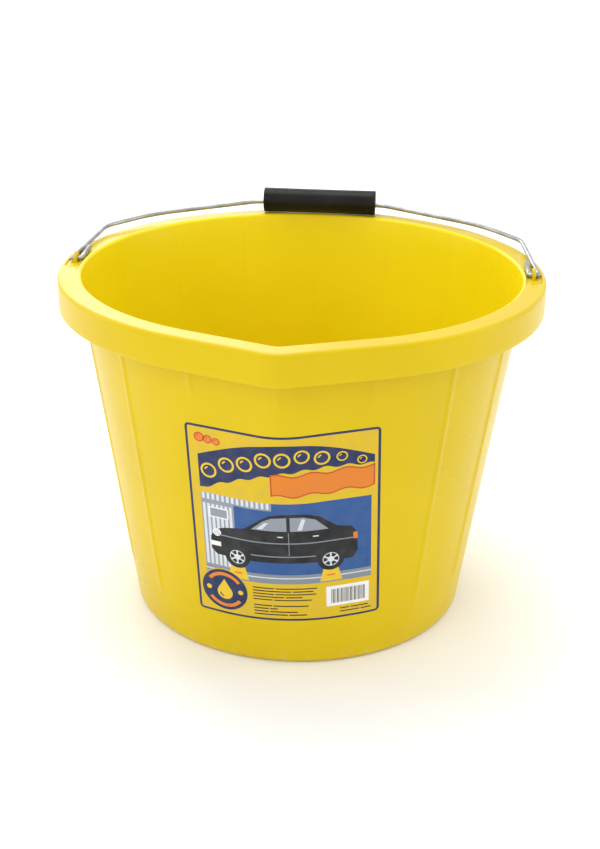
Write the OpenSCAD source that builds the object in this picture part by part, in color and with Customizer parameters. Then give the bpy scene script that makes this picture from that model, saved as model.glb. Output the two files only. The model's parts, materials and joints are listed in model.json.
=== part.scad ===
// Wash bucket with a pouring lip, a folding wire bail and a loose tube grip.
// Millimetres. The origin is the centre of the foot, on the ground; +Z is up,
// -Y is the pouring lip and the bail's ears are on the X axis.

/* [Tub] */
// Height of the rim above the ground
tub_h = 250; // [180:1:320]
// Inner radius of the round mouth, at the rim
mouth_r = 155.4; // [130:0.2:200]
// Outer radius of the tub where its tapered wall would meet the ground
base_r = 122; // [100:0.5:128]
// Thickness of the tub's wall
wall = 2.8; // [2:0.1:4]
// Thickness of the floor
floor_t = 3.4; // [2:0.1:6]
// Height of the foot ring under the floor
foot_h = 4; // [2:0.5:8]
// Width of the foot ring
foot_w = 5; // [3:0.5:10]
// Rounding where the wall meets the foot, and inside where it meets the floor
corner = 5; // [2:0.5:9]

/* [Rim and pouring lip] */
// Width of the flat rim, from the mouth to the outer face of its skirt
rim_w = 16.3; // [15:0.1:24]
// Thickness of the rim and of the skirt that hangs from it
rim_t = 3; // [2:0.1:4]
// Height of the skirt
skirt_h = 22; // [14:1:32]
// Rounding of the rim's outer edge
rim_edge = 2.4; // [1:0.1:2.8]
// Rounding of the mouth's edge
mouth_edge = 1.9; // [0.5:0.1:2.6]
// How far the pouring lip reaches beyond the round mouth
lip_out = 11.6; // [6:0.2:20]
// Radius of the pouring lip's nose, inside
lip_nose = 6; // [3:0.5:12]

/* [Ribs] */
// Number of upright ribs around the wall
rib_n = 16; // [8:4:32]
// Width of a rib
rib_w = 4; // [2:0.5:8]
// How far a rib stands out of the wall
rib_out = 0.9; // [0.4:0.1:2]
// Height at which the ribs fade out, near the foot
rib_low = 30; // [15:1:80]
// Height at which the ribs above the label end
rib_stop = 200; // [190:1:215]
// Thickness of the webs inside the skirt, one above each rib
web_t = 2.4; // [1.5:0.1:4]
// Height of the webs
web_h = 15; // [8:1:20]

/* [Ears] */
// Distance from the mouth to the middle of the ear lug
lug_in = 7.4; // [6:0.1:12]
// Thickness of the ear lug
lug_t = 2.4; // [1.6:0.1:3]
// Material around the ear's bore
lug_edge = 3; // [2:0.1:5]
// How far the wire's underside lies below the rim at the pivot
wire_sink = 0.5; // [0.1:0.1:0.5]
// Half length of the shallow pocket that the bail's feet turn in
pocket_half = 16; // [10:1:24]
// Depth of the pocket
pocket_d = 1.2; // [1:0.1:2]

/* [Bail] */
// Diameter of the bail's wire
wire_d = 3.4; // [2.5:0.1:4.5]
// How far the grip's axis lies beyond the mouth when the bail is folded back
seat_in = 3.3; // [2:0.1:8]
// Inward lean of the bail's arms
arm_lean = 6; // [2:0.5:10]
// Slope of the wire just outside the grip
shoulder_slope = 30; // [15:1:35]
// Slope of the wire where it turns down to the arm
hip_slope = 50; // [42:1:60]
// Share of the half width at which the slope changes
shoulder_at = 0.77; // [0.6:0.01:0.82]
// Bend radius beside the grip
grip_bend = 20; // [8:1:30]
// Radius of the long bow over the shoulder
shoulder_bend = 110; // [40:5:120]
// Bend radius at the top of the arm
hip_bend = 26; // [10:1:30]
// Radius on the inside of the hook's bends through the ear
hook_in = 0.3; // [0.1:0.05:0.35]
// Length of the wire's tail inside the ear
tail_l = 27; // [12:1:40]

/* [Grip] */
// Length of the grip
grip_l = 90; // [70:1:110]
// Diameter of the grip
grip_d = 19.5; // [14:0.5:28]
// Bevel on the grip's end edges
grip_bevel = 0.6; // [0.2:0.1:1.5]

/* [Label] */
// Width of the label at its top edge
label_top_w = 127; // [80:1:130]
// Width of the label at its lower edge
label_low_w = 124; // [80:1:130]
// How far the label sits to the right of the pouring lip
label_shift = 2; // [-5:0.5:5]
// Turn of the label, its right side up
label_turn = 1.5; // [-3:0.1:3]
// Height of the label
label_h = 148; // [80:1:150]
// Height of the middle of the label's lower edge above the ground
label_low = 38; // [36:0.5:46]
// Corner radius of the label
label_r = 3; // [1:0.5:10]
// Thickness of the label film
label_t = 0.25; // [0.15:0.05:0.5]

/* [Clearances] */
// Radial clearance of the wire in the ear's bore
bore_gap = 0.4; // [0.2:0.05:1]
// Gap between the lug and the arm or the tail on each side
side_gap = 0.6; // [0.4:0.05:1.5]
// Radial clearance of the wire in the grip's bore
grip_gap = 2.2; // [1:0.1:4]
// Gap between the wire and the lowest side of the grip's bore
hang_gap = 0.2; // [0.1:0.05:0.5]
// Gap between the folded grip and the rim
rest_gap = 0.3; // [0.2:0.05:1]

/* [Hidden] */
round_fn = 120;
nose_fn = 32;
thin = 0.01;
past = 1;
rib_fade = 14;
rib_sink = 1;
wire_fn = 16;
bend_step = 8;

taper = (mouth_r + wall - base_r) / tub_h;
lip_taper = (mouth_r + wall + lip_out - base_r) / tub_h;
floor_z = foot_h + floor_t;
rib_step = 360 / rib_n;

pivot_up = wire_d / 2 - wire_sink;
pivot_z = tub_h + pivot_up;
lug_x = mouth_r + lug_in;
bore_d = wire_d + 2 * bore_gap;
lug_r = bore_d / 2 + lug_edge;
foot_off = lug_t / 2 + side_gap + wire_d / 2;
hook_bend = wire_d / 2 + hook_in;
sweep_r = wire_d / 2 - thin;
arm_x = lug_x + foot_off;
tail_x = lug_x - foot_off;

grip_bore_d = wire_d + 2 * grip_gap;
wire_drop = grip_gap - hang_gap;
grip_z = tub_h + rest_gap + grip_d / 2;
reach = mouth_r + seat_in;
rise = asin((grip_z - wire_drop - pivot_z) / reach);
grip_y = reach * cos(rise);

// Corners of the right half of the bail in its own plane: across, and out
// from the pivot. The hip lies where the shoulder's line meets the arm's line.
mid_end = grip_l / 2 + 1 + grip_bend * tan(shoulder_slope / 2);
shoulder_x = arm_x * shoulder_at;
shoulder_y = reach - (shoulder_x - mid_end) * tan(shoulder_slope);
hip_run = (arm_x - shoulder_x - shoulder_y * tan(arm_lean)) / (1 - tan(hip_slope) * tan(arm_lean));
hip_x = shoulder_x + hip_run;
hip_y = shoulder_y - hip_run * tan(hip_slope);
half_route = [
    [mid_end, reach],
    [shoulder_x, shoulder_y],
    [hip_x, hip_y],
    [arm_x, 0],
    [tail_x, 0],
    [tail_x, tail_l]
];
half_bends = [grip_bend, shoulder_bend, hip_bend, hook_bend, hook_bend, 0];
route_n = len(half_route);
route = concat(
    [for (i = [route_n - 1:-1:0]) [-half_route[i][0], half_route[i][1]]],
    half_route
);
bends = concat([for (i = [route_n - 1:-1:0]) half_bends[i]], half_bends);

function heading(a, b) = atan2(b[1] - a[1], b[0] - a[0]);
function wrapped(a) = a > 180 ? a - 360 : a < -180 ? a + 360 : a;
function turn(i) = wrapped(heading(route[i], route[i + 1]) - heading(route[i - 1], route[i]));
function is_end(i) = i == 0 || i == len(route) - 1;
function setback(i) = is_end(i) ? 0 : bends[i] * tan(abs(turn(i)) / 2);
function along(a, b, d) = a + (b - a) * d / norm(b - a);

// Rings of the swept wire: each is a circle across the heading at one point.
function ring(p, way) = [
    for (k = [0:wire_fn - 1])
        let (a = 360 * k / wire_fn)
        [p[0] - sweep_r * cos(a) * sin(way), p[1] + sweep_r * cos(a) * cos(way), sweep_r * sin(a)]
];
function end_ring(i) = ring(route[i], i == 0 ? heading(route[0], route[1]) : heading(route[i - 1], route[i]));
function bend_rings(i) =
    let (
        way = heading(route[i - 1], route[i]),
        hand = turn(i) > 0 ? 1 : -1,
        start = along(route[i], route[i - 1], setback(i)),
        centre = start + hand * bends[i] * [-sin(way), cos(way)],
        steps = ceil(abs(turn(i)) / bend_step)
    )
    [
        for (s = [0:steps])
            let (w = way + turn(i) * s / steps)
            ring(centre + hand * bends[i] * [sin(w), -cos(w)], w)
    ];

// Outline of the tub at the rim, grown outwards by off: the round mouth and
// the nose of the pouring lip.
module plan_round(off) {
    circle(r = mouth_r + off, $fn = round_fn);
}

module plan_nose(off) {
    translate([0, -(mouth_r + lip_out - lip_nose)])
        circle(r = lip_nose + off, $fn = nose_fn);
}

module plan(off) {
    big = mouth_r + off;
    small = lip_nose + off;
    far = mouth_r + lip_out - lip_nose;
    side = acos((big - small) / far);
    plan_round(off);
    plan_nose(off);
    polygon([
        [0, 0],
        [big * sin(side), -big * cos(side)],
        [small * sin(side), -far - small * cos(side)],
        [-small * sin(side), -far - small * cos(side)],
        [-big * sin(side), -big * cos(side)]
    ]);
}

module plate(off, z, h = thin) {
    translate([0, 0, z])
        linear_extrude(h) {
            plan_round(off);
            plan_nose(off);
        }
}

// Solid tub grown outwards by off: round at the foot, with the lip at the rim.
module tub_solid(off) {
    hull() {
        cylinder(r = base_r + off - corner, h = thin, $fn = round_fn);
        translate([0, 0, corner])
            cylinder(r = base_r + off + taper * corner, h = thin, $fn = round_fn);
        plate(wall + off, tub_h - thin);
    }
}

module cavity() {
    low_r = base_r - wall;
    hull() {
        translate([0, 0, floor_z])
            cylinder(r = low_r + taper * floor_z - corner, h = thin, $fn = round_fn);
        translate([0, 0, floor_z + corner])
            cylinder(r = low_r + taper * (floor_z + corner), h = thin, $fn = round_fn);
        plate(0, tub_h);
    }
    hull() {
        plate(-mouth_edge, tub_h - 2 * mouth_edge);
        plate(mouth_edge, tub_h, past);
    }
}

module rim_solid() {
    hull() {
        plate(rim_w, tub_h - skirt_h, skirt_h - rim_edge);
        plate(rim_w - rim_edge * 0.3, tub_h - rim_edge * 0.3);
        plate(rim_w - rim_edge, tub_h - thin);
    }
}

// Space between the wall and the skirt, less the webs and the ear blocks.
module rim_hollow() {
    difference() {
        translate([0, 0, tub_h - skirt_h - past])
            linear_extrude(skirt_h + past - rim_t)
                plan(rim_w - rim_t);
        tub_solid(0);
        for (i = [0:rib_n - 1])
            rotate([0, 0, i * rib_step])
                translate([-web_t / 2, -mouth_r - lip_out - rim_w, tub_h - web_h])
                    cube([web_t, lip_out + rim_w, web_h]);
        for (side = [-1, 1])
            translate([side * (mouth_r + rim_w / 2) - rim_w / 2, -pocket_half - rim_t, tub_h - web_h])
                cube([rim_w, 2 * (pocket_half + rim_t), web_h]);
    }
}

// A rib runs up the wall under the skirt; over the label it starts higher.
module rib(slope, low) {
    high = tub_h - skirt_h + rim_t;
    rotate([90, 0, 90])
        translate([0, 0, -rib_w / 2])
            linear_extrude(rib_w)
                polygon([
                    [-base_r - slope * low + rib_sink, low],
                    [-base_r - slope * low, low],
                    [-base_r - slope * (low + rib_fade) - rib_out, low + rib_fade],
                    [-base_r - slope * high - rib_out, high],
                    [-base_r - slope * high + rib_sink, high]
                ]);
}

module ribs() {
    for (i = [0:rib_n - 1]) {
        off_lip = abs(wrapped(i * rib_step));
        rotate([0, 0, i * rib_step])
            rib(off_lip < rib_step / 2 ? lip_taper : taper, off_lip < 30 ? rib_stop : rib_low);
    }
}

module pocket() {
    low = tail_x - wire_d / 2 - side_gap;
    high = arm_x + wire_d / 2 + side_gap;
    translate([low, -pocket_half, tub_h - pocket_d])
        cube([high - low, 2 * pocket_half, pocket_d + past]);
}

module lug() {
    translate([lug_x - lug_t / 2, 0, pivot_z])
        rotate([90, 0, 90])
            linear_extrude(lug_t) {
                circle(r = lug_r, $fn = 48);
                translate([-lug_r, -pivot_up - pocket_d - past])
                    square([2 * lug_r, pivot_up + pocket_d + past]);
            }
}

module ear_bore() {
    translate([lug_x - lug_t, 0, pivot_z])
        rotate([0, 90, 0])
            cylinder(d = bore_d, h = 2 * lug_t, $fn = 48);
}

module bucket_body() {
    color("#e3c21f")
        difference() {
            union() {
                difference() {
                    union() {
                        tub_solid(0);
                        rim_solid();
                        ribs();
                    }
                    cavity();
                    rim_hollow();
                    pocket();
                    mirror([1, 0, 0])
                        pocket();
                    translate([0, 0, -past])
                        cylinder(r = base_r - corner - foot_w, h = foot_h + past, $fn = round_fn);
                }
                lug();
                mirror([1, 0, 0])
                    lug();
            }
            ear_bore();
            mirror([1, 0, 0])
                ear_bore();
        }
}

// The wire is swept along the route as rings of points; the short run through
// each ear is a true round pin of the same diameter.
module wire_sweep() {
    rings = [for (i = [0:len(route) - 1]) each is_end(i) ? [end_ring(i)] : bend_rings(i)];
    last = len(rings) - 1;
    sides = [
        for (i = [0:last - 1], k = [0:wire_fn - 1])
            let (m = (k + 1) % wire_fn)
            [i * wire_fn + k, (i + 1) * wire_fn + k, (i + 1) * wire_fn + m, i * wire_fn + m]
    ];
    tail_cap = [for (k = [0:wire_fn - 1]) k];
    far_cap = [for (k = [wire_fn - 1:-1:0]) last * wire_fn + k];
    polyhedron(points = [for (r = rings) each r], faces = concat(sides, [tail_cap, far_cap]));
}

module ear_pins() {
    run = 2 * (foot_off - hook_bend);
    for (side = [-1, 1])
        translate([side * lug_x - run / 2, 0, 0])
            rotate([0, 90, 0])
                cylinder(d = wire_d, h = run, $fn = 48);
}

module bail_wire() {
    color("#a9adb0")
        translate([0, 0, pivot_z])
            rotate([rise, 0, 0]) {
                wire_sweep();
                ear_pins();
            }
}

module handle_grip() {
    half = grip_l / 2;
    outer = grip_d / 2;
    inner = grip_bore_d / 2;
    color("#232323")
        translate([0, grip_y, grip_z])
            rotate([0, 90, 0])
                rotate_extrude($fn = 64)
                    polygon([
                        [inner, -half],
                        [outer - grip_bevel, -half],
                        [outer, -half + grip_bevel],
                        [outer, half - grip_bevel],
                        [outer - grip_bevel, half],
                        [inner, half]
                    ]);
}

module label() {
    color("#f0c31a")
        intersection() {
            difference() {
                tub_solid(label_t);
                tub_solid(0);
            }
            translate([label_shift, 0, label_low + label_h / 2])
                rotate([90, -label_turn, 0])
                    linear_extrude(mouth_r + lip_out + rim_w)
                        label_outline();
        }
}

// The sheet narrows downwards with the wall that it is wrapped on.
module label_outline() {
    top = label_top_w / 2 - label_r;
    low = label_low_w / 2 - label_r;
    up = label_h / 2 - label_r;
    offset(r = label_r, $fn = 32)
        polygon([
            [-low, -up],
            [low, -up],
            [top, up],
            [-top, up]
        ]);
}

bucket_body();
bail_wire();
handle_grip();
label();
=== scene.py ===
import json
import math
import bmesh
import bpy
from mathutils import Matrix, Vector


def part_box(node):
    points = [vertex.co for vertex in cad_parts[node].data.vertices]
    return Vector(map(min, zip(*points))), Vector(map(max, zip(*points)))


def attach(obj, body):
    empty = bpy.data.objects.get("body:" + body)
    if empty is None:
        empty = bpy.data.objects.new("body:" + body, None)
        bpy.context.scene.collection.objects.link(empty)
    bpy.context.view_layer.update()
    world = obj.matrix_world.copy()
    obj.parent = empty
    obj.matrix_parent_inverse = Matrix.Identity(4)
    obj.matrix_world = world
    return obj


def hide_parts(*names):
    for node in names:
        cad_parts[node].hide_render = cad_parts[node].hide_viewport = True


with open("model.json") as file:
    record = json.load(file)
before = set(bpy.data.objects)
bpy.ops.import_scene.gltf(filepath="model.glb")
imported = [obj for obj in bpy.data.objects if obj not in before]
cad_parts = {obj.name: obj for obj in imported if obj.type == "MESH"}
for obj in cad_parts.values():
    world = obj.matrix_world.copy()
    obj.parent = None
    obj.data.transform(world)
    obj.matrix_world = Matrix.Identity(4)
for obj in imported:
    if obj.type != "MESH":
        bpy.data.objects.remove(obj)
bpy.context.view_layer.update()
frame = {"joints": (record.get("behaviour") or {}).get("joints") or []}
joints = {j["name"]: j for j in frame["joints"]}
swingAt = Vector(joints["bail_swing"]["pos_m"])
spinAt = Vector(joints["grip_spin"]["pos_m"])
bodyLow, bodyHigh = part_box("bucket_body")
gripLow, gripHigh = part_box("handle_grip")
labelLow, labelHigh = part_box("label")

mm = 0.001                       # lengths are in metres


shot = {
    "azimuth": 4.9,        # degrees round from the lip, towards +X
    "elevation": 22.6,
    "distance": 1.0536,
    "aimHeight": 0.1297,
    "lens": 60.2,
    "roll": 0.8,
}


def makeCamera():
    azimuth = math.radians(shot["azimuth"])
    elevation = math.radians(shot["elevation"])
    aim = Vector((0, 0, shot["aimHeight"]))
    away = Vector((
        math.sin(azimuth) * math.cos(elevation),
        -math.cos(azimuth) * math.cos(elevation),
        math.sin(elevation),
    ))
    data = bpy.data.cameras.new("camera")
    data.lens = shot["lens"]
    camera = bpy.data.objects.new("camera", data)
    bpy.context.scene.collection.objects.link(camera)
    camera.location = aim + away * shot["distance"]
    turn = (-away).to_track_quat("-Z", "Y").to_matrix().to_4x4()
    roll = Matrix.Rotation(math.radians(shot["roll"]), 4, "Z")
    camera.matrix_world = Matrix.Translation(camera.location) @ turn @ roll
    bpy.context.scene.camera = camera


# name: place, aim, width, height, watts
softboxes = {
    "keyLeft": ((-0.9, -1.2, 0.9), (0, 0, 0.12), 0.8, 0.8, 3),
    "topPanel": ((-0.2, 0.3, 1.6), (0, 0, 0.2), 0.9, 0.9, 9),
    "backPanel": ((-0.9, 2.0, 1.0), (0, 0, 0.25), 1.5, 0.6, 9),
    "rightStrip": ((1.35, 0.1, 0.45), (0, 0, 0.12), 0.3, 1.2, 3),
    "leftStrip": ((-1.35, 0.1, 0.45), (0, 0, 0.12), 0.3, 1.2, 2),
}
skyStrength = 1.05               # even white light from all round


def makeLights():
    for name, (place, aim, width, height, watts) in softboxes.items():
        data = bpy.data.lights.new(name, "AREA")
        data.shape = "RECTANGLE"
        data.size = width
        data.size_y = height
        data.energy = watts
        lamp = bpy.data.objects.new(name, data)
        bpy.context.scene.collection.objects.link(lamp)
        lamp.location = place
        lamp.rotation_euler = (Vector(aim) - Vector(place)).to_track_quat("-Z", "Y").to_euler()
    world = bpy.data.worlds.new("studio")
    world.use_nodes = True
    world.node_tree.nodes["Background"].inputs["Color"].default_value = (1, 1, 1, 1)
    world.node_tree.nodes["Background"].inputs["Strength"].default_value = skyStrength
    bpy.context.scene.world = world
    bpy.context.scene.view_settings.view_transform = "Standard"


def newGroup(name, inputs, outputs):
    group = bpy.data.node_groups.new(name, "ShaderNodeTree")
    for label, kind, value in inputs:
        socket = group.interface.new_socket(name=label, in_out="INPUT", socket_type=kind)
        if value is not None:
            socket.default_value = value
    for label, kind in outputs:
        group.interface.new_socket(name=label, in_out="OUTPUT", socket_type=kind)
    start = group.nodes.new("NodeGroupInput")
    end = group.nodes.new("NodeGroupOutput")
    return group, start, end


def feed(tree, socket, value):
    # links a socket to another, or gives it a plain value
    if isinstance(value, bpy.types.NodeSocket):
        tree.links.new(value, socket)
    elif value is not None:
        socket.default_value = value


def addNode(tree, kind, settings=None, **values):
    node = tree.nodes.new(kind)
    for key, value in (settings or {}).items():
        setattr(node, key, value)
    for key, value in values.items():
        feed(tree, node.inputs[key.replace("_", " ")], value)
    return node


def addMath(tree, operation, first, second=None):
    node = tree.nodes.new("ShaderNodeMath")
    node.operation = operation
    for socket, value in zip(node.inputs, (first, second)):
        feed(tree, socket, value)
    return node.outputs[0]


def addRange(tree, value, low, high, newLow, newHigh):
    node = addNode(tree, "ShaderNodeMapRange", None, Value=value)
    for label, number in (("From Min", low), ("From Max", high), ("To Min", newLow), ("To Max", newHigh)):
        node.inputs[label].default_value = number
    return node.outputs["Result"]


def addMix(tree, factor, first, second):
    node = tree.nodes.new("ShaderNodeMix")
    node.data_type = "RGBA"
    for label, value in (("Factor", factor), ("A", first), ("B", second)):
        feed(tree, node.inputs[label], value)
    return node.outputs["Result"]


def makeMouldGrain():
    group, start, end = newGroup(
        "mouldGrain",
        [("Vector", "NodeSocketVector", None), ("Peel Scale", "NodeSocketFloat", 900.0),
         ("Patch Scale", "NodeSocketFloat", 14.0)],
        [("Height", "NodeSocketFloat"), ("Patch", "NodeSocketFloat"), ("Speck", "NodeSocketFloat")],
    )
    peel = addNode(group, "ShaderNodeTexNoise", None, Vector=start.outputs["Vector"],
                   Scale=start.outputs["Peel Scale"], Detail=2.0)
    patch = addNode(group, "ShaderNodeTexNoise", None, Vector=start.outputs["Vector"],
                    Scale=start.outputs["Patch Scale"], Detail=4.0)
    speckScale = addMath(group, "MULTIPLY", start.outputs["Peel Scale"], 0.35)
    speck = addNode(group, "ShaderNodeTexNoise", None, Vector=start.outputs["Vector"],
                    Scale=speckScale, Detail=5.0)
    group.links.new(peel.outputs["Fac"], end.inputs["Height"])
    group.links.new(addRange(group, patch.outputs["Fac"], 0.35, 0.65, 0, 1), end.inputs["Patch"])
    group.links.new(addRange(group, speck.outputs["Fac"], 0.56, 0.68, 0, 1), end.inputs["Speck"])
    return group


def makeScuffBand():
    group, start, end = newGroup(
        "scuffBand",
        [("Vector", "NodeSocketVector", None), ("Low", "NodeSocketFloat", 0.0),
         ("High", "NodeSocketFloat", 0.02), ("Scale", "NodeSocketFloat", 60.0)],
        [("Mask", "NodeSocketFloat")],
    )
    height = addNode(group, "ShaderNodeSeparateXYZ", None, Vector=start.outputs["Vector"]).outputs["Z"]
    fade = addNode(group, "ShaderNodeMapRange", {"interpolation_type": "SMOOTHSTEP"}, Value=height,
                   From_Min=start.outputs["High"], From_Max=start.outputs["Low"])
    squeezed = addNode(group, "ShaderNodeMapping", None, Vector=start.outputs["Vector"], Scale=(1, 1, 0.25))
    noise = addNode(group, "ShaderNodeTexNoise", None, Vector=squeezed.outputs["Vector"],
                    Scale=start.outputs["Scale"], Detail=6.0)
    broken = addRange(group, noise.outputs["Fac"], 0.48, 0.7, 0, 1)
    group.links.new(addMath(group, "MULTIPLY", fade.outputs["Result"], broken), end.inputs["Mask"])
    return group


mouldGrain = makeMouldGrain()
scuffBand = makeScuffBand()


def newMaterial(name):
    material = bpy.data.materials.new(name)
    material.use_nodes = True
    tree = material.node_tree
    shader = tree.nodes["Principled BSDF"]
    place = tree.nodes.new("ShaderNodeTexCoord").outputs["Object"]
    return material, tree, shader, place


def placeGroup(tree, group, **values):
    return addNode(tree, "ShaderNodeGroup", {"node_tree": group}, **values)


def addBump(tree, shader, height, look):
    bump = addNode(tree, "ShaderNodeBump", None, Height=height, Strength=look["bump"],
                   Distance=look["bumpDepth"])
    tree.links.new(bump.outputs["Normal"], shader.inputs["Normal"])


bucketLook = {
    "deep": (0.62, 0.45, 0.001, 1),
    "bright": (0.66, 0.48, 0.002, 1),
    "scuffed": (0.80, 0.66, 0.22, 1),
    "smooth": 0.26,
    "rough": 0.34,
    "gloss": 0.19,
    "glassiness": 1.49,          # index of refraction
    "wear": 0.2,
    "wearRough": 0.2,            # added roughness where it is scuffed
    "wearLow": 1 * mm,           # scuffs are full here and gone at wearHigh
    "wearHigh": 14 * mm,
    "wearScale": 160.0,
    "peel": 240.0,
    "patch": 9.0,
    "bump": 0.05,
    "bumpDepth": 0.2 * mm,
}
# brighter copy of the yellow plastic for the inner wall and floor: painted light standing in for light
# bouncing round inside the tub
litInsideLook = dict(bucketLook, deep=(0.78, 0.62, 0.004, 1), bright=(0.82, 0.66, 0.006, 1), wear=0.0)


def makeBucketPlastic(name, look):
    material, tree, shader, place = newMaterial(name)
    grain = placeGroup(tree, mouldGrain, Vector=place, Peel_Scale=look["peel"], Patch_Scale=look["patch"])
    scuff = placeGroup(tree, scuffBand, Vector=place, Low=look["wearLow"], High=look["wearHigh"],
                       Scale=look["wearScale"])
    mask = scuff.outputs["Mask"]
    base = addMix(tree, grain.outputs["Patch"], look["deep"], look["bright"])
    worn = addMix(tree, addMath(tree, "MULTIPLY", mask, look["wear"]), base, look["scuffed"])
    tree.links.new(worn, shader.inputs["Base Color"])
    rough = addRange(tree, grain.outputs["Patch"], 0, 1, look["smooth"], look["rough"])
    added = addMath(tree, "MULTIPLY", mask, look["wearRough"])
    tree.links.new(addMath(tree, "ADD", rough, added), shader.inputs["Roughness"])
    shader.inputs["IOR"].default_value = look["glassiness"]
    shader.inputs["Specular IOR Level"].default_value = look["gloss"]
    addBump(tree, shader, grain.outputs["Height"], look)
    return material


def makeFinish(name, look, dark, light):
    # two close tones in soft patches, with a fine grain
    material, tree, shader, place = newMaterial(name)
    grain = placeGroup(tree, mouldGrain, Vector=place, Peel_Scale=look["peel"], Patch_Scale=look["patch"])
    rough = addRange(tree, grain.outputs["Speck"], 0, 1, look["smooth"], look["rough"])
    tree.links.new(addMix(tree, grain.outputs["Patch"], dark, light), shader.inputs["Base Color"])
    tree.links.new(rough, shader.inputs["Roughness"])
    shader.inputs["Metallic"].default_value = look["metal"]
    shader.inputs["Specular IOR Level"].default_value = look["gloss"]
    addBump(tree, shader, grain.outputs["Height"], look)
    return material


def makeObject(name, bm, materials, body, replaced):
    mesh = bpy.data.meshes.new(name)
    bmesh.ops.recalc_face_normals(bm, faces=bm.faces)
    for face in bm.faces:
        face.smooth = True
    bm.to_mesh(mesh)
    bm.free()
    for material in materials:
        mesh.materials.append(material)
    piece = bpy.data.objects.new(name, mesh)
    bpy.context.scene.collection.objects.link(piece)
    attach(piece, body)
    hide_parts(replaced)
    return piece


def keepEdges(piece, degrees):
    piece.data.set_sharp_from_angle(angle=math.radians(degrees))


def addLoft(bm, rings, closed=False):
    # joins rings of points that run the same way round
    count = len(rings[0])
    loops = [[bm.verts.new(p) for p in ring] for ring in rings]
    pairs = list(zip(loops, loops[1:] + loops[:1] if closed else loops[1:]))
    for first, second in pairs:
        for i in range(count):
            j = (i + 1) % count
            bm.faces.new((first[i], first[j], second[j], second[i]))
    return loops


def addFan(bm, loop, centre):
    middle = bm.verts.new(centre)
    for i, vert in enumerate(loop):
        bm.faces.new((vert, loop[(i + 1) % len(loop)], middle))


def arcPoints(across, up, radius, first, last, steps):
    angles = [math.radians(first + (last - first) * i / steps) for i in range(steps + 1)]
    return [(across + radius * math.cos(a), up + radius * math.sin(a)) for a in angles]


def smooth(value, low, high):
    t = min(max((value - low) / (high - low), 0.0), 1.0)
    return t * t * (3 - 2 * t)


tub = {
    "pivotUp": 1.2 * mm,         # pivot above the rim
    "rimWidth": 16.3 * mm,
    "rimThick": 3.0 * mm,
    "skirt": 22 * mm,
    "rimEdge": 2.4 * mm,
    "mouthEdge": 2.0 * mm,
    "wall": 2.8 * mm,
    "footRadius": 122 * mm,      # where the wall would meet the ground
    "corner": 5 * mm,
    "footHeight": 4 * mm,
    "footWidth": 5 * mm,
    "floor": 3.4 * mm,
    "noseRadius": 6 * mm,
    "ribs": 16,
    "ribWidth": 4 * mm,
    "ribHeight": 0.9 * mm,
    "ribLow": 30 * mm,
    "ribStop": 200 * mm,
    "ribFade": 14 * mm,
    "ribCrown": 0.5 * mm,        # half of the rib's flat top
    "ribSpread": 1.2 * mm,       # how far its foot runs past its width
    "sink": 0.15 * mm,           # faint hollow inside the wall behind each rib
    "sinkHalf": 3.0 * mm,
    "pocketDepth": 1.2 * mm,
    "pocketHalf": 16 * mm,
    "pocketIn": 5.6 * mm,        # from the lug's middle towards the mouth
    "pocketOut": 5.8 * mm,
    "pocketSoft": 0.8 * mm,      # width of the pocket's sloping edge
    "skirtEdge": 1.3 * mm,
    "rootEdge": 1.5 * mm,        # fillets under the rim
    "footChamfer": 0.6 * mm,
    "footFillet": 1 * mm,
    "dimple": 0.5 * mm,          # gate mark under the floor
    "lugEdge": 0.5 * mm,
    "boreChamfer": 0.3 * mm,
    "lugIn": 7.4 * mm,
    "lugThick": 2.4 * mm,
    "lugRadius": 5.1 * mm,
    "boreRadius": 2.1 * mm,
    "webThick": 2.4 * mm,
    "webHeight": 15 * mm,
}
rimZ = swingAt.z - tub["pivotUp"]
mouthR = bodyHigh.y - tub["rimWidth"]
lipOut = -bodyLow.y - bodyHigh.y
noseAt = mouthR + lipOut - tub["noseRadius"]
flatAngle = math.degrees(math.acos((mouthR - tub["noseRadius"]) / noseAt))
noseSpan = 2.0
taper = (mouthR + tub["wall"] - tub["footRadius"]) / rimZ
floorZ = tub["footHeight"] + tub["floor"]
ribStep = 360 / tub["ribs"]


def station(u):
    # place on the outline: the way its wall faces, in degrees from the lip,
    # and a share that is 0 on the round and 1 on the nose
    side = -1 if u < 0 else 1
    u = abs(u)
    if u >= flatAngle:
        return side * u, 0.0
    if u >= noseSpan:
        return side * flatAngle, (flatAngle - u) / (flatAngle - noseSpan)
    return side * flatAngle * u / noseSpan, 1.0


def wallPoint(u, z, planZ, off, lowZ):
    # point of the tub's wall; off is measured outwards from the inner face
    facing, nose = station(u)
    facing = math.radians(facing)
    t = min(max((planZ - lowZ) / (rimZ - lowZ), 0.0), 1.0)
    low = tub["footRadius"] - tub["wall"] + taper * lowZ
    radius = (1 - t) * low + t * (mouthR + nose * (tub["noseRadius"] - mouthR)) + off
    return Vector((radius * math.sin(facing), -radius * math.cos(facing) - t * nose * noseAt, z))


def outerPoint(u, z, off):
    return wallPoint(u, z, z, off, tub["corner"])


def azimuthOf(point):
    return math.degrees(math.atan2(point.x, -point.y))


def findStation(azimuth, z, off):
    low, high = -180.0, 180.0
    for _ in range(50):
        middle = (low + high) / 2
        if azimuthOf(outerPoint(middle, z, off)) < azimuth:
            low = middle
        else:
            high = middle
    return middle


def ribOffset(u, z):
    # distance along the wall from the nearest rib's middle, and that rib's azimuth
    point = outerPoint(u, z, tub["wall"])
    azimuth = azimuthOf(point)
    nearest = round(azimuth / ribStep) * ribStep
    return math.hypot(point.x, point.y) * math.radians(azimuth - nearest), nearest


def ribShape(u, z):
    away, azimuth = ribOffset(u, z)
    across = 1 - smooth(abs(away), tub["ribCrown"], tub["ribWidth"] / 2 + tub["ribSpread"])
    # the three front ribs end above the label
    low = tub["ribStop"] if abs(azimuth) < 1.5 * ribStep else tub["ribLow"]
    return across * smooth(z, low, low + tub["ribFade"])


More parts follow.
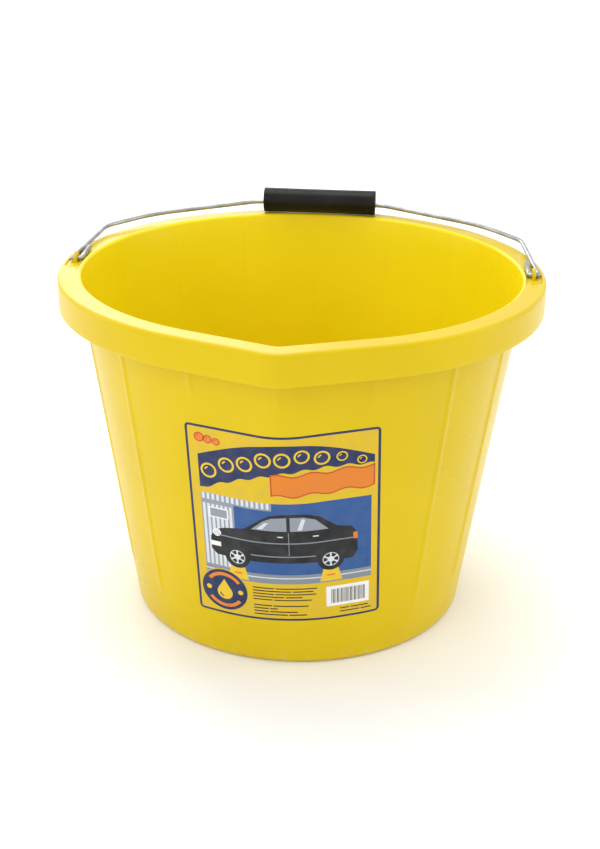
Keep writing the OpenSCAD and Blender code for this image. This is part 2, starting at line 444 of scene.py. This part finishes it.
def pocketShape(u, off):
    point = wallPoint(u, rimZ, rimZ, off, floorZ)
    low = tub["lugIn"] - tub["pocketIn"]
    high = tub["lugIn"] + tub["pocketOut"]
    soft = tub["pocketSoft"]
    inside = smooth(off, low, low + soft) * (1 - smooth(off, high - soft, high))
    return inside * (1 - smooth(abs(point.y), tub["pocketHalf"] - soft, tub["pocketHalf"]))


def stationList():
    # even steps round the tub, and closer ones at the nose, the ribs and the pockets
    ribColumns = (-3.2, -2.3, -1.4, -0.5, 0.5, 1.4, 2.3, 3.2)
    pocketColumns = (-0.9, -0.4, 0.1)
    places = set()
    steps = 120
    for i in range(steps):
        places.add(round(-180 + 360 * (i + 0.5) / steps, 3))
    for i in range(-10, 11):
        places.add(round(noseSpan * i / 10, 3))
    ribZ = (tub["ribStop"] + rimZ) / 2
    for i in range(tub["ribs"]):
        middle = (i - tub["ribs"] / 2) * ribStep
        for step in ribColumns:
            away = math.degrees(step * mm / (mouthR + tub["wall"]))
            if middle + away > -180:
                places.add(round(findStation(middle + away, ribZ, tub["wall"]), 3))
    for side in (-90, 90):
        for edge in (-1, 1):
            for step in pocketColumns:
                reach = tub["pocketHalf"] + step * mm
                turn = math.degrees(math.asin(reach / (mouthR + tub["lugIn"])))
                places.add(round(side + edge * turn, 3))
    places = sorted(places)
    kept = [places[0]]
    for place in places[1:]:
        if place - kept[-1] > 0.04:
            kept.append(place)
    return kept


def bucketRings(places):
    wall, rimW = tub["wall"], tub["rimWidth"]
    rings = []

    def innerRing(z, off, sink=0.0):
        ring = []
        for u in places:
            across = ribOffset(u, (tub["ribStop"] + rimZ) / 2)[0]
            mark = sink * (1 - smooth(abs(across), 0.0, tub["sinkHalf"]))
            ring.append(wallPoint(u, z, z, off + mark, floorZ + tub["corner"]))
        rings.append(ring)

    def rimRing(off, z):
        onTop = z > rimZ - 0.01 * mm
        ring = []
        for u in places:
            hollow = tub["pocketDepth"] * pocketShape(u, off) * onTop
            ring.append(wallPoint(u, z - hollow, rimZ, off, floorZ))
        rings.append(ring)

    def outerRing(z, off):
        rings.append([outerPoint(u, z, off + tub["ribHeight"] * ribShape(u, z)) for u in places])

    def footRing(radius, z):
        low = tub["footRadius"] - wall
        rings.append([outerPoint(u, z, radius - low - taper * tub["corner"]) for u in places])

    corner = tub["corner"]
    for off, z in arcPoints(-corner, floorZ + corner, corner, -90, 0, 6):
        innerRing(z, off)
    for z in (20, 35, 50, 70, 100, 130, 160, 190, 215, 235):
        innerRing(z * mm, 0.0, tub["sink"])
    edge = tub["mouthEdge"]
    for off, z in arcPoints(edge, rimZ - edge, edge, 180, 90, 6):
        innerRing(z, off)
    innerCount = len(rings)
    for off in (2.3, 2.7, 3.2, 5, 7.4, 10, 12.3, 12.8, 13.3):
        rimRing(off * mm, rimZ)
    edge = tub["rimEdge"]
    for off, z in arcPoints(rimW - edge, rimZ - edge, edge, 90, 0, 7):
        rimRing(off, z)
    bottom = rimZ - tub["skirt"]
    for drop in (5, 9, 13, 17):
        rimRing(rimW, rimZ - drop * mm)
    edge = tub["skirtEdge"]
    for off, z in arcPoints(rimW - edge, bottom + edge, edge, 0, -90, 4):
        rimRing(off, z)
    inside = rimW - tub["rimThick"]
    for off, z in arcPoints(inside + edge, bottom + edge, edge, -90, -180, 4):
        rimRing(off, z)
    under = rimZ - tub["rimThick"]
    edge = tub["rootEdge"]
    for off, z in arcPoints(inside - edge, under - edge, edge, 0, 90, 3):
        rimRing(off, z)
    for off, z in arcPoints(wall + edge, under - edge, edge, 90, 180, 3):
        outerRing(z, off)
    levels = [240, 234, 229, 221, 214, 210, 207, 203.5, 200]    # close where the front ribs fade
    levels += [190, 170, 145, 120, 95, 70, 50]
    levels += [44, 40.5, 37, 33.5, 30, 20, 12]                  # and where the others do
    for z in levels:
        outerRing(z * mm, wall)
    footR = tub["footRadius"] + taper * corner
    for radius, z in arcPoints(footR - corner, corner, corner, 0, -84, 7):
        footRing(radius, z)
    ringR = tub["footRadius"] - corner
    innerR = ringR - tub["footWidth"]
    footRing(ringR, 0.0)
    footRing(innerR + tub["footChamfer"], 0.0)
    footRing(innerR, tub["footChamfer"])
    footRing(innerR, tub["footHeight"] - tub["footFillet"])
    footRing(innerR - tub["footFillet"], tub["footHeight"])
    return rings, innerCount


def stepIn(bm, last, ring, share, z, under=False):
    # joins a loop to a smaller copy of ring inside it, facing up or, with under, down
    made = [bm.verts.new((v.x * share, v.y * share, z)) for v in ring]
    for i in range(len(made)):
        j = (i + 1) % len(made)
        if under:
            bm.faces.new((last[i], last[j], made[j], made[i]))
        else:
            bm.faces.new((last[j], last[i], made[i], made[j]))
    return made


def addBox(bm, middle, across, along, size, bevel):
    # box of size (along, across, up) about middle, with bevelled edges
    made = bmesh.ops.create_cube(bm, size=1.0)
    up = Vector((0, 0, 1))
    for vert in made["verts"]:
        x, y, z = vert.co
        vert.co = middle + along * (x * size[0]) + across * (y * size[1]) + up * (z * size[2])
    # each edge once, in the order met
    edges = list(dict.fromkeys(edge for vert in made["verts"] for edge in vert.link_edges))
    bmesh.ops.bevel(bm, geom=edges, offset=bevel, segments=2, affect="EDGES", profile=0.5)


def addWebs(bm):
    height = tub["webHeight"] - tub["rimThick"] + 1 * mm
    z = rimZ - tub["webHeight"] + height / 2
    for i in range(tub["ribs"]):
        u = findStation((i - tub["ribs"] / 2) * ribStep + 0.001, z, tub["wall"])
        inner = outerPoint(u, z, tub["wall"] - 1.2 * mm)
        outer = wallPoint(u, z, rimZ, tub["rimWidth"] - tub["rimThick"] + 1.2 * mm, floorZ)
        along = outer - inner
        length = along.length
        along.normalize()
        across = Vector((-along.y, along.x, 0))
        addBox(bm, (inner + outer) / 2, across, along, (length, tub["webThick"], height), 0.4 * mm)


def addEarBlocks(bm):
    height = tub["webHeight"] - tub["rimThick"] + 1 * mm
    z = rimZ - tub["webHeight"] + height / 2
    low, high = mouthR + 1.4 * mm, bodyHigh.y - 1.6 * mm
    half = tub["pocketHalf"] + tub["rimThick"]
    reach = math.sqrt((high - 0.4 * mm) ** 2 - half ** 2)
    for side in (-1, 1):
        middle = Vector((side * (low + reach) / 2, 0, z))
        addBox(bm, middle, Vector((0, 1, 0)), Vector((1, 0, 0)), (reach - low, 2 * half, height), 0.8 * mm)


def lugReach(angle, base):
    # how far the lug's outline lies from the bore's axis
    radius = tub["lugRadius"]
    if math.sin(angle) >= 0:
        return radius
    sideways = radius / max(abs(math.cos(angle)), 1e-6)
    down = base / max(-math.sin(angle), 1e-6)
    return min(sideways, down)


def addLug(bm, side):
    half = tub["lugThick"] / 2
    x = mouthR + tub["lugIn"]
    base = tub["pivotUp"] + tub["pocketDepth"] + 1 * mm
    count = 64
    bore, edge, chamfer = tub["boreRadius"], tub["lugEdge"], tub["boreChamfer"]
    # radius in the bore or inset from the outline, then the place along the bore
    steps = [
        (bore, None, -half + chamfer),
        (bore + chamfer, None, -half),
        (None, edge, -half),
        (None, 0.0, -half + edge),
        (None, 0.0, half - edge),
        (None, edge, half),
        (bore + chamfer, None, half),
        (bore, None, half - chamfer),
    ]
    rings = []
    for radius, inset, shift in steps:
        ring = []
        for i in range(count):
            angle = 2 * math.pi * i / count
            reach = radius if radius else lugReach(angle, base) - inset
            y, z = reach * math.cos(angle), swingAt.z + reach * math.sin(angle)
            ring.append(Vector((side * x + shift, y, z)))
        rings.append(ring)
    addLoft(bm, rings, closed=True)


def makeBucket():
    bm = bmesh.new()
    places = stationList()
    rings, innerRings = bucketRings(places)
    loops = addLoft(bm, rings)
    last = loops[0]
    for share in (0.97, 0.85, 0.6, 0.35, 0.12):
        last = stepIn(bm, last, rings[0], share, floorZ)
    addFan(bm, last, (0, 0, floorZ))
    bm.faces.ensure_lookup_table()
    wallFaces = (innerRings - 1) * len(places)
    floorFaces = range((len(rings) - 1) * len(places), len(bm.faces))
    # the inner wall and floor take the brighter copy, which is painted light for the bounce inside
    for i in list(range(wallFaces)) + list(floorFaces):
        bm.faces[i].material_index = 1
    last = loops[-1]
    under = tub["footHeight"]
    dimpleZ = under - tub["dimple"]
    steps = [(0.96, under), (0.6, under), (0.16, under), (0.075, under), (0.07, dimpleZ), (0.02, dimpleZ)]
    for share, z in steps:
        last = stepIn(bm, last, rings[-1], share, z, under=True)
    addFan(bm, last, (0, 0, dimpleZ))
    addWebs(bm)
    addEarBlocks(bm)
    for side in (-1, 1):
        addLug(bm, side)
    plastics = [makeBucketPlastic("bucketYellow", bucketLook)]
    # second slot is the painted-light copy used inside the tub
    plastics.append(makeBucketPlastic("bucketInsidePaintedLight", litInsideLook))
    piece = makeObject("bucketShell", bm, plastics, "bucket", "bucket_body")
    keepEdges(piece, 40)
    print("bucket", len(piece.data.vertices), "vertices,", len(places), "stations")


makeBucket()


bail = {
    "radius": 1.7 * mm,
    "drop": 2.0 * mm,            # wire's axis below the grip's axis
    "footOffset": 3.5 * mm,      # lug's middle to the arm and to the tail
    "armLean": 6,
    "shoulderSlope": 30,
    "hipSlope": 50,
    "shoulderAt": 0.77,
    "gripBend": 20 * mm,
    "shoulderBend": 110 * mm,
    "hipBend": 26 * mm,
    "hookBend": 2 * mm,
    "tail": 27 * mm,
    "sides": 28,
    "burr": 0.35 * mm,           # cut ends are broken by this much
}
wireLook = {
    "dark": (0.30, 0.31, 0.32, 1),
    "light": (0.44, 0.45, 0.46, 1),
    "smooth": 0.30,
    "rough": 0.42,
    "metal": 0.9,
    "gloss": 0.5,
    "peel": 900.0,
    "patch": 90.0,
    "bump": 0.1,
    "bumpDepth": 0.05 * mm,
}


def heading(a, b):
    return math.atan2(b[1] - a[1], b[0] - a[0])


def bailRoute():
    # corners of the right half in the bail's own plane, then the whole wire
    reach = math.hypot(spinAt.y, spinAt.z - bail["drop"] - swingAt.z)
    armX = mouthR + tub["lugIn"] + bail["footOffset"]
    tailX = armX - 2 * bail["footOffset"]
    slope = math.tan(math.radians(bail["shoulderSlope"]))
    fall = math.tan(math.radians(bail["hipSlope"]))
    lean = math.tan(math.radians(bail["armLean"]))
    half = gripHigh.x + 1 * mm + bail["gripBend"] * math.tan(math.radians(bail["shoulderSlope"] / 2))
    shoulderX = armX * bail["shoulderAt"]
    shoulderY = reach - (shoulderX - half) * slope
    run = (armX - shoulderX - shoulderY * lean) / (1 - fall * lean)
    corners = [(half, reach), (shoulderX, shoulderY), (shoulderX + run, shoulderY - run * fall),
               (armX, 0.0), (tailX, 0.0), (tailX, bail["tail"])]
    bends = [bail["gripBend"], bail["shoulderBend"], bail["hipBend"], bail["hookBend"], bail["hookBend"], 0.0]
    return [(-x, y) for x, y in reversed(corners)] + corners, list(reversed(bends)) + bends


def bailPath():
    # points and headings along the wire, in its plane
    route, bends = bailRoute()
    path = [(route[0], heading(route[0], route[1]))]
    for i in range(1, len(route) - 1):
        before, after = heading(route[i - 1], route[i]), heading(route[i], route[i + 1])
        turn = (after - before + math.pi) % (2 * math.pi) - math.pi
        back = bends[i] * math.tan(abs(turn) / 2)
        hand = 1 if turn > 0 else -1
        startX = route[i][0] - back * math.cos(before)
        startY = route[i][1] - back * math.sin(before)
        centre = (startX - hand * bends[i] * math.sin(before), startY + hand * bends[i] * math.cos(before))
        steps = max(2, math.ceil(abs(math.degrees(turn)) / 5))
        for s in range(steps + 1):
            way = before + turn * s / steps
            x = centre[0] + hand * bends[i] * math.sin(way)
            y = centre[1] - hand * bends[i] * math.cos(way)
            path.append(((x, y), way))
    path.append((route[-1], heading(route[-2], route[-1])))
    return path


def wireRing(point, way, radius, shift, rise):
    ring = []
    out = Vector((0, math.cos(rise), math.sin(rise)))
    normal = Vector((0, -math.sin(rise), math.cos(rise)))
    ahead = Vector((math.cos(way), 0, 0)) + out * math.sin(way)
    across = Vector((-math.sin(way), 0, 0)) + out * math.cos(way)
    middle = swingAt + Vector((point[0], 0, 0)) + out * point[1] + ahead * shift
    for i in range(bail["sides"]):
        angle = 2 * math.pi * i / bail["sides"]
        ring.append(middle + across * (radius * math.cos(angle)) + normal * (radius * math.sin(angle)))
    return ring


def makeBail():
    rise = math.atan2(spinAt.z - bail["drop"] - swingAt.z, spinAt.y)
    radius, burr = bail["radius"], bail["burr"]
    path = bailPath()
    rings = [wireRing(*path[0], radius - burr, 0.0, rise), wireRing(*path[0], radius, burr, rise)]
    rings += [wireRing(point, way, radius, 0.0, rise) for point, way in path[1:-1]]
    rings += [wireRing(*path[-1], radius, -burr, rise), wireRing(*path[-1], radius - burr, 0.0, rise)]
    bm = bmesh.new()
    loops = addLoft(bm, rings)
    for loop, ring in ((loops[0], rings[0]), (loops[-1], rings[-1])):
        addFan(bm, loop, sum(ring, Vector()) / len(ring))
    zinc = makeFinish("galvanisedWire", wireLook, wireLook["dark"], wireLook["light"])
    piece = makeObject("bailWire", bm, [zinc], "bail", "bail_wire")
    keepEdges(piece, 50)
    print("bail", len(path), "rings")


makeBail()


grip = {
    "bore": 3.9 * mm,
    "bevel": 0.7 * mm,
    "seam": 0.12 * mm,           # parting line left by the mould
    "sides": 96,
    "waist": 0.15 * mm,          # shrinkage towards the middle
    "leadIn": 0.5 * mm,          # chamfer at each end of the bore
}
gripLook = {
    "dark": (0.006, 0.006, 0.006, 1),
    "light": (0.010, 0.010, 0.010, 1),
    "smooth": 0.36,
    "rough": 0.5,
    "metal": 0.0,
    "gloss": 0.17,
    "peel": 600.0,
    "patch": 45.0,
    "bump": 0.15,
    "bumpDepth": 0.2 * mm,
}


def makeGrip():
    radius = (gripHigh.z - gripLow.z) / 2
    half = gripHigh.x
    bevel = grip["bevel"]
    bore, leadIn = grip["bore"], grip["leadIn"]

    def endRound(first, last):
        # radius and distance in from the end
        return [(radius - bevel + b, bevel - a) for a, b in arcPoints(0, 0, bevel, first, last, 4)]

    profile = [(bore + leadIn, -half), (radius - bevel, -half)]
    profile += [(r, -half + x) for r, x in endRound(0, 90)]
    for x in [half * s / 10 for s in range(-9, 10)]:
        profile.append((radius - grip["waist"] * (1 - (x / half) ** 2), x))
    profile += [(r, half - x) for r, x in endRound(90, 0)]
    profile += [(bore + leadIn, half), (bore, half - leadIn), (bore, -half + leadIn)]
    rings = []
    for r, x in profile:
        ring = []
        outside = r > 2 * bore
        straight = abs(x) < half - bevel
        for i in range(grip["sides"]):
            angle = 2 * math.pi * i / grip["sides"]
            seam = grip["seam"] if i % (grip["sides"] // 2) == 0 and straight and outside else 0.0
            reach = r - grip["seam"] + seam if outside else r
            ring.append(Vector((x, spinAt.y + reach * math.cos(angle), spinAt.z + reach * math.sin(angle))))
        rings.append(ring)
    bm = bmesh.new()
    addLoft(bm, rings, closed=True)
    black = makeFinish("gripBlack", gripLook, gripLook["dark"], gripLook["light"])
    piece = makeObject("gripTube", bm, [black], "grip", "handle_grip")
    keepEdges(piece, 45)
    print("grip made")


makeGrip()


label = {
    "topWidth": 127 * mm,
    "lowWidth": 124 * mm,
    "height": 148 * mm,
    "corner": 3 * mm,
    "shift": 2 * mm,             # to the right of the lip
    "turn": 1.5,                 # degrees, right side up
    "border": 1.7 * mm,
    "back": 0.02 * mm,           # film and inks, measured out from the wall
    "front": 0.06 * mm,
    "layer": 0.02 * mm,
    "bite": 0.01 * mm,           # how far the first inks reach into the film
    "column": 1.25 * mm,         # the flat drawing is cut this fine before it is wrapped
    "row": 4 * mm,
}
labelW, labelH = label["topWidth"], label["height"]
labelMid = (labelHigh.z + labelLow.z) / 2

inks = {
    "film": (0.66, 0.45, 0.006, 1),
    "navy": (0.008, 0.020, 0.085, 1),
    "orange": (0.70, 0.20, 0.010, 1),
    "red": (0.52, 0.06, 0.012, 1),
    "black": (0.008, 0.009, 0.012, 1),
    "steel": (0.26, 0.29, 0.34, 1),
    "pale": (0.62, 0.66, 0.70, 1),
    "blue": (0.020, 0.085, 0.27, 1),
    "white": (0.82, 0.82, 0.80, 1),
    "ground": (0.21, 0.24, 0.28, 1),
    "yellow": (0.74, 0.50, 0.02, 1),
}
inkLook = {
    "smooth": 0.32,
    "rough": 0.4,
    "metal": 0.0,
    "gloss": 0.28,
    "peel": 300.0,
    "patch": 120.0,
    "bump": 0.08,
    "bumpDepth": 0.1 * mm,
}


def makeInk(name, colour):
    faded = tuple(0.9 * c + 0.02 for c in colour[:3]) + (1,)
    return makeFinish("ink" + name.capitalize(), inkLook, colour, faded)


def frontY(x, z, off):
    # the outer wall's y at this x and height, on the lip's side
    t = max((z - tub["corner"]) / (rimZ - tub["corner"]), 0.0)
    low = tub["footRadius"] + taper * tub["corner"]
    big = (1 - t) * low + t * (mouthR + tub["wall"]) + off
    small = (1 - t) * low + t * (tub["noseRadius"] + tub["wall"]) + off
    ahead = t * noseAt
    lean = math.radians(flatAngle)
    side = abs(x)
    if side <= small * math.sin(lean):
        return -(ahead + math.sqrt(small * small - x * x))
    if side >= big * math.sin(lean):
        return -math.sqrt(big * big - x * x)
    return -(ahead + small * math.cos(lean) - (side - small * math.sin(lean)) * math.tan(lean))


def onWall(x, z):
    # a point of the flat drawing, narrowed towards the lower edge and turned
    up = 0.5 + z / labelH
    x *= (label["lowWidth"] * (1 - up) + label["topWidth"] * up) / labelW
    turn = math.radians(label["turn"])
    return (label["shift"] + x * math.cos(turn) - z * math.sin(turn),
            labelMid + x * math.sin(turn) + z * math.cos(turn))


def cutLines(low, high, step):
    first = math.ceil(low / step + 1e-6)
    return [i * step for i in range(first, math.floor(high / step - 1e-6) + 1)]


def wrapShape(bm, outline, slotIndex, back, front):
    # closed thin prism of a flat outline, wrapped on the wall
    # the outline is in metres from the label's middle
    flat = bmesh.new()
    flat.faces.new([flat.verts.new((x, 0, z)) for x, z in outline])
    xs, zs = [p[0] for p in outline], [p[1] for p in outline]
    cuts = ((0, min(xs), max(xs), label["column"]), (2, min(zs), max(zs), label["row"]))
    for axis, low, high, step in cuts:
        normal = (1, 0, 0) if axis == 0 else (0, 0, 1)
        for at in cutLines(low, high, step):
            place = (at, 0, 0) if axis == 0 else (0, 0, at)
            geometry = flat.verts[:] + flat.edges[:] + flat.faces[:]
            bmesh.ops.bisect_plane(flat, geom=geometry, plane_co=place, plane_no=normal, dist=1e-7)
    bmesh.ops.triangulate(flat, faces=flat.faces[:])
    flat.verts.index_update()

    def lifted(off):
        made = []
        for vert in flat.verts:
            x, z = onWall(vert.co.x, vert.co.z)
            made.append(bm.verts.new((x, frontY(x, z, off), z)))
        return made

    outer, inner = lifted(front), lifted(back)
    for face in flat.faces:
        order = [v.index for v in face.verts]
        bm.faces.new([outer[i] for i in order]).material_index = slotIndex
        bm.faces.new([inner[i] for i in reversed(order)]).material_index = slotIndex
    for edge in flat.edges:
        if len(edge.link_faces) == 1:
            a, b = (v.index for v in edge.verts)
            bm.faces.new((outer[a], outer[b], inner[b], inner[a])).material_index = slotIndex
    flat.free()


def roundedBox(x0, x1, z0, z1, corner, steps=6):
    points = []
    for cx, cz, first in ((x1 - corner, z1 - corner, 0), (x0 + corner, z1 - corner, 90),
                          (x0 + corner, z0 + corner, 180), (x1 - corner, z0 + corner, 270)):
        points += arcPoints(cx, cz, corner, first, first + 90, steps)
    return points


def disc(x, z, radius, sides=40):
    return arcPoints(x, z, radius, 0, 360 * (sides - 1) / sides, sides - 1)


def spot(s, t):
    # place on the label: s runs from its left edge and t down from its top edge, 0 to 1
    return ((s - 0.5) * labelW, (0.5 - t) * labelH)


def spots(*pairs):
    return [spot(s, t) for s, t in pairs]


def bar(s0, s1, t0, t1, corner=0.0):
    (x0, z1), (x1, z0) = spot(s0, t0), spot(s1, t1)
    if corner:
        return roundedBox(x0, x1, z0, z1, corner)
    return [(x1, z1), (x0, z1), (x0, z0), (x1, z0)]


def dot(s, t, radius, sides=40):
    return disc(*spot(s, t), radius, sides)


def arcBand(s0, s1, topEdge, lowEdge, steps=16):
    # band between two curves, each a function of s
    values = [s0 + (s1 - s0) * i / steps for i in range(steps + 1)]
    return [spot(s, topEdge(s)) for s in values] + [spot(s, lowEdge(s)) for s in reversed(values)]


def bubble(s, t, radius, ink, ground, layer):
    # a ring with a small glint
    x, z = spot(s, t)
    glint = arcPoints(x, z, radius * 0.52, 100, 170, 8) + arcPoints(x, z, radius * 0.34, 170, 100, 8)
    hole = disc(x, z, radius * 0.74, 28)
    return [(ink, disc(x, z, radius, 28), layer), (ground, hole, layer + 1), (ink, glint, layer + 2)]


def headlineShapes():
    # an arched wave with a row of bubbles in it stands for the headline,
    # and a wavy ribbon for the second line
    def top(s):
        return 0.150 - 0.105 * math.sin(math.pi * (s - 0.06) / 0.95)

    def low(s):
        sag = 0.065 * math.sin(math.pi * (s - 0.06) / 0.91)
        return 0.325 - 0.160 * (s - 0.06) - sag + 0.006 * math.cos(s * 56)

    def ribbon(shift):
        return lambda s: shift - 0.028 * (s - 0.45) + 0.008 * math.sin(s * 36)

    shapes = [("navy", arcBand(0.060, 0.970, top, low, 70), 1)]
    for i in range(9):
        s = 0.115 + 0.099 * i
        middle = (top(s) + low(s)) / 2
        radius = (0.33 - 0.05 * (i % 2)) * (low(s) - top(s)) * labelH
        shapes += bubble(s, middle + 0.005 * (-1) ** i, min(radius, 5.6 * mm), "yellow", "navy", 2)
    shapes.append(("red", arcBand(0.445, 0.972, ribbon(0.198), ribbon(0.310), 44), 3))
    shapes.append(("orange", arcBand(0.453, 0.964, ribbon(0.205), ribbon(0.303), 44), 4))
    for i in range(3):
        shapes += bubble(0.075 + 0.046 * i, 0.062 + 0.005 * i, (3.6 - 0.4 * i) * mm, "red", "orange", 1)
    return shapes


def boardedWall():
    # slatted awning and boards to the left, a plain blue wall behind
    shapes = [("blue", bar(0.060, 0.955, 0.345, 0.787), 1), ("ground", bar(0.060, 0.955, 0.735, 0.787), 2)]
    shapes.append(("steel", bar(0.060, 0.240, 0.385, 0.735), 2))
    shapes.append(("steel", bar(0.060, 0.445, 0.345, 0.385), 2))
    for i in range(14):
        s = 0.066 + 0.0270 * i
        shapes.append(("pale", bar(s, s + 0.015, 0.345, 0.377), 3))
    for i in range(7):
        s = 0.067 + 0.0245 * i
        shapes.append(("pale", bar(s, s + 0.015, 0.400, 0.728), 3))
    shapes.append(("white", bar(0.098, 0.208, 0.415, 0.470, 0.8 * mm), 4))
    shapes.append(("steel", bar(0.106, 0.200, 0.421, 0.464), 5))
    shapes.append(("pale", bar(0.060, 0.955, 0.752, 0.758), 3))
    return shapes


def wheelOn(s, t, radius):
    x, z = spot(s, t)
    shapes = [("black", disc(x, z, radius, 44), 5), ("pale", disc(x, z, radius * 0.62, 36), 6)]
    for spoke in range(6):
        angle = math.pi * spoke / 3
        wedge = [(0.26, -0.10), (0.55, -0.20), (0.55, 0.20), (0.26, 0.10)]
        points = []
        for r, w in wedge:
            across = r * math.cos(angle) - w * math.sin(angle)
            up = r * math.sin(angle) + w * math.cos(angle)
            points.append((x + radius * across, z + radius * up))
        shapes.append(("black", points, 7))
    return shapes


def pictureShapes():
    # a plain dark saloon raised on four blocks
    shapes = boardedWall()
    body = spots((0.100, 0.640), (0.100, 0.575), (0.125, 0.535), (0.180, 0.515),
                 (0.290, 0.498), (0.375, 0.440), (0.430, 0.412), (0.500, 0.402),
                 (0.620, 0.402), (0.690, 0.420), (0.780, 0.482), (0.855, 0.495),
                 (0.880, 0.530), (0.885, 0.630), (0.860, 0.668), (0.130, 0.668))
    shapes.append(("black", body, 4))
    frontGlass = spots((0.330, 0.492), (0.395, 0.443), (0.440, 0.424), (0.520, 0.418), (0.520, 0.492))
    rearGlass = spots((0.538, 0.492), (0.538, 0.418), (0.610, 0.418), (0.670, 0.434), (0.735, 0.492))
    shapes += [("steel", frontGlass, 5), ("steel", rearGlass, 5)]
    shapes.append(("pale", spots((0.360, 0.486), (0.405, 0.450), (0.425, 0.450), (0.390, 0.486)), 6))
    shapes.append(("pale", spots((0.575, 0.486), (0.600, 0.426), (0.618, 0.430), (0.600, 0.486)), 6))
    shapes.append(("ground", bar(0.120, 0.872, 0.556, 0.562), 5))
    shapes.append(("ground", bar(0.322, 0.668, 0.630, 0.636), 5))
    shapes.append(("ground", bar(0.527, 0.531, 0.500, 0.625), 5))
    shapes.append(("white", dot(0.136, 0.548, 3.0 * mm, 28), 5))
    shapes.append(("pale", dot(0.136, 0.548, 2.1 * mm, 28), 6))
    shapes.append(("orange", bar(0.862, 0.884, 0.530, 0.566, 0.6 * mm), 5))
    shapes.append(("white", bar(0.100, 0.155, 0.598, 0.622), 5))
    for s in (0.470, 0.655):
        shapes.append(("pale", bar(s, s + 0.030, 0.520, 0.526), 5))
    for s in (0.245, 0.745):
        block = spots((s - 0.058, 0.780), (s - 0.040, 0.712), (s + 0.040, 0.712), (s + 0.058, 0.780))
        shapes.append(("yellow", block, 4))
        shapes.append(("orange", bar(s - 0.022, s + 0.022, 0.742, 0.752, 0.5 * mm), 5))
        shapes += wheelOn(s, 0.660, 8.8 * mm)
    return shapes


def roundelShapes():
    # a badge with a water drop, between two arcs
    x, z = spot(0.158, 0.862)
    shapes = [("film", disc(x, z, 17.4 * mm, 72), 6), ("navy", disc(x, z, 16.6 * mm, 72), 7)]
    for first in (35, 215):
        ring = arcPoints(x, z, 14.2 * mm, first, first + 110, 22)
        ring += arcPoints(x, z, 11.6 * mm, first + 110, first, 22)
        shapes.append(("orange", ring, 8))
    for side in (-1, 1):
        shapes.append(("yellow", disc(x + side * 11.6 * mm, z, 1.9 * mm, 24), 8))
    drop = arcPoints(x, z - 2.2 * mm, 5.6 * mm, 150, 390, 28) + [(x, z + 8.8 * mm)]
    shapes.append(("yellow", drop, 8))
    glint = arcPoints(x, z - 2.2 * mm, 3.9 * mm, 190, 255, 10)
    glint += arcPoints(x, z - 2.2 * mm, 2.9 * mm, 255, 190, 10)
    shapes.append(("navy", glint, 9))
    return shapes


def printLines(left, top, step, thick, lengths):
    # plain strokes where small print would be, each broken once
    shapes = []
    for row, length in enumerate(lengths):
        t, gap = top + step * row, left + length * (0.35 + 0.3 * (row % 2))
        shapes.append(("black", bar(left, gap - 0.004, t, t + thick), 1))
        shapes.append(("black", bar(gap + 0.004, left + length, t, t + thick), 1))
    return shapes


def smallPrintShapes():
    shapes = printLines(0.320, 0.812, 0.0165, 0.0062, (0.350, 0.330, 0.345, 0.270, 0.320))
    shapes += printLines(0.322, 0.912, 0.0172, 0.0066, (0.300, 0.130, 0.240, 0.290))
    shapes += printLines(0.790, 0.944, 0.0180, 0.0060, (0.150, 0.165))
    shapes.append(("white", bar(0.718, 0.944, 0.814, 0.928), 1))
    for i in range(24):
        left = 0.744 + 0.0076 * i
        shapes.append(("black", bar(left, left + (0.0028, 0.0050, 0.0036)[i % 3], 0.832, 0.912), 2))
    return shapes


def borderShapes():
    # four lengths of a rounded frame along the label's edge
    width, corner = label["border"], label["corner"]
    halfW, halfH = labelW / 2, labelH / 2
    outer = roundedBox(-halfW, halfW, -halfH, halfH, corner)
    inner = roundedBox(width - halfW, halfW - width, width - halfH, halfH - width, corner - width)
    step = len(outer) // 4
    shapes = []
    for i in range(4):
        along = [(i * step + k) % len(outer) for k in range(step + 1)]
        shapes.append(("navy", [outer[k] for k in along] + [inner[k] for k in reversed(along)], 1))
    return shapes


def makeLabel():
    names = list(inks)
    bm = bmesh.new()
    outline = roundedBox(-labelW / 2, labelW / 2, -labelH / 2, labelH / 2, label["corner"])
    wrapShape(bm, outline, names.index("film"), label["back"], label["front"])
    shapes = borderShapes() + headlineShapes() + pictureShapes() + roundelShapes() + smallPrintShapes()
    thick = label["layer"]
    for name, points, layer in shapes:
        low = label["front"] + thick * (layer - 1) - (label["bite"] if layer == 1 else 0)
        wrapShape(bm, points, names.index(name), low, label["front"] + thick * layer)
    materials = [makeInk(name, colour) for name, colour in inks.items()]
    piece = makeObject("labelPrint", bm, materials, "bucket", "label")
    keepEdges(piece, 30)
    print("label", len(shapes), "printed shapes,", len(piece.data.polygons), "faces")


makeLabel()


floorLook = {
    "half": 8.0,
    "dark": (0.95, 0.95, 0.95, 1),
    "light": (0.97, 0.97, 0.97, 1),
    "scale": 3.0,
    "rough": 0.9,
}


def makeFloor():
    bm = bmesh.new()
    bmesh.ops.create_grid(bm, x_segments=2, y_segments=2, size=floorLook["half"])
    mesh = bpy.data.meshes.new("floor")
    bm.to_mesh(mesh)
    bm.free()
    material, tree, shader, place = newMaterial("paleFloor")
    noise = addNode(tree, "ShaderNodeTexNoise", None, Vector=place, Scale=floorLook["scale"])
    tree.links.new(addMix(tree, noise.outputs["Fac"], floorLook["dark"], floorLook["light"]),
                   shader.inputs["Base Color"])
    shader.inputs["Roughness"].default_value = floorLook["rough"]
    mesh.materials.append(material)
    floor = bpy.data.objects.new("floor", mesh)
    bpy.context.scene.collection.objects.link(floor)
    floor.location = (0, 0, bodyLow.z)


makeFloor()
makeLights()
makeCamera()
print("floor, lights and camera placed")
bpy.context.view_layer.update()
